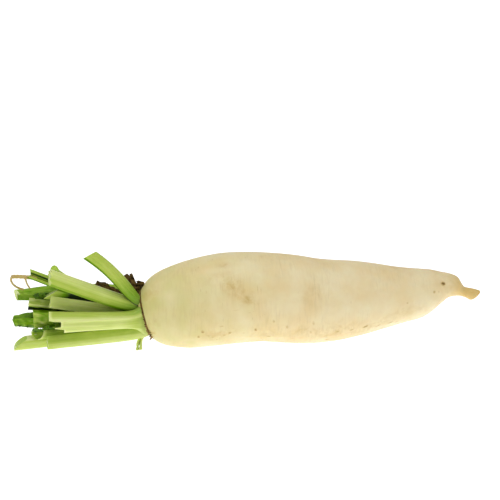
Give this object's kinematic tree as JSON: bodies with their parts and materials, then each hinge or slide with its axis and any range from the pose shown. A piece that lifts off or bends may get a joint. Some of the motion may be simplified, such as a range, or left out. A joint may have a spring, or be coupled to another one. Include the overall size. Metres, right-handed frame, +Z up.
{
  "type": "daikon radish",
  "caption": "Long white radish lying on its side, with a tapered root, a broken-off tail and a fan of leaf stalks cut short above the crown.",
  "frame": {"origin": "middle of the whole radish's bounding box, at the height of the surface that it lies on", "axes": "+X along the root from the leaves to the tail, +Z up, +Y to the far side as the picture shows it"},
  "size_m": [0.376, 0.0714, 0.0845],
  "materials": {
    "root_skin": "smooth, faintly waxy skin",
    "leaf_stalk": "smooth, moist",
    "leaf_blade": "soft, slightly glossy",
    "dry_leaf": "dry, rough"
  },
  "bodies": {
    "root": {"root": "root_skin", "leaf_stalk_01": "leaf_stalk", "leaf_stalk_02": "leaf_stalk", "leaf_stalk_03": "leaf_stalk", "leaf_stalk_04": "leaf_stalk", "leaf_stalk_05": "leaf_stalk", "leaf_stalk_06": "leaf_stalk", "leaf_stalk_07": "leaf_stalk", "leaf_stalk_08": "leaf_stalk", "leaf_stalk_09": "leaf_stalk", "leaf_stalk_10": "leaf_stalk", "leaf_stalk_11": "leaf_stalk", "leaf_stalk_12": "leaf_stalk", "leaf_stalk_13": "leaf_stalk", "leaf_stalk_14": "leaf_stalk", "leaf_stalk_15": "leaf_stalk", "leaf_stalk_16": "leaf_stalk", "leaf_stalk_17": "leaf_stalk", "young_leaf": "leaf_stalk", "leaf_lobe_01": "leaf_blade", "leaf_lobe_02": "leaf_blade", "leaf_lobe_03": "leaf_blade", "leaf_lobe_04": "leaf_blade", "withered_leaf_01": "dry_leaf", "withered_leaf_02": "dry_leaf", "leaf_collar": "dry_leaf"}
  },
  "joints": []
}
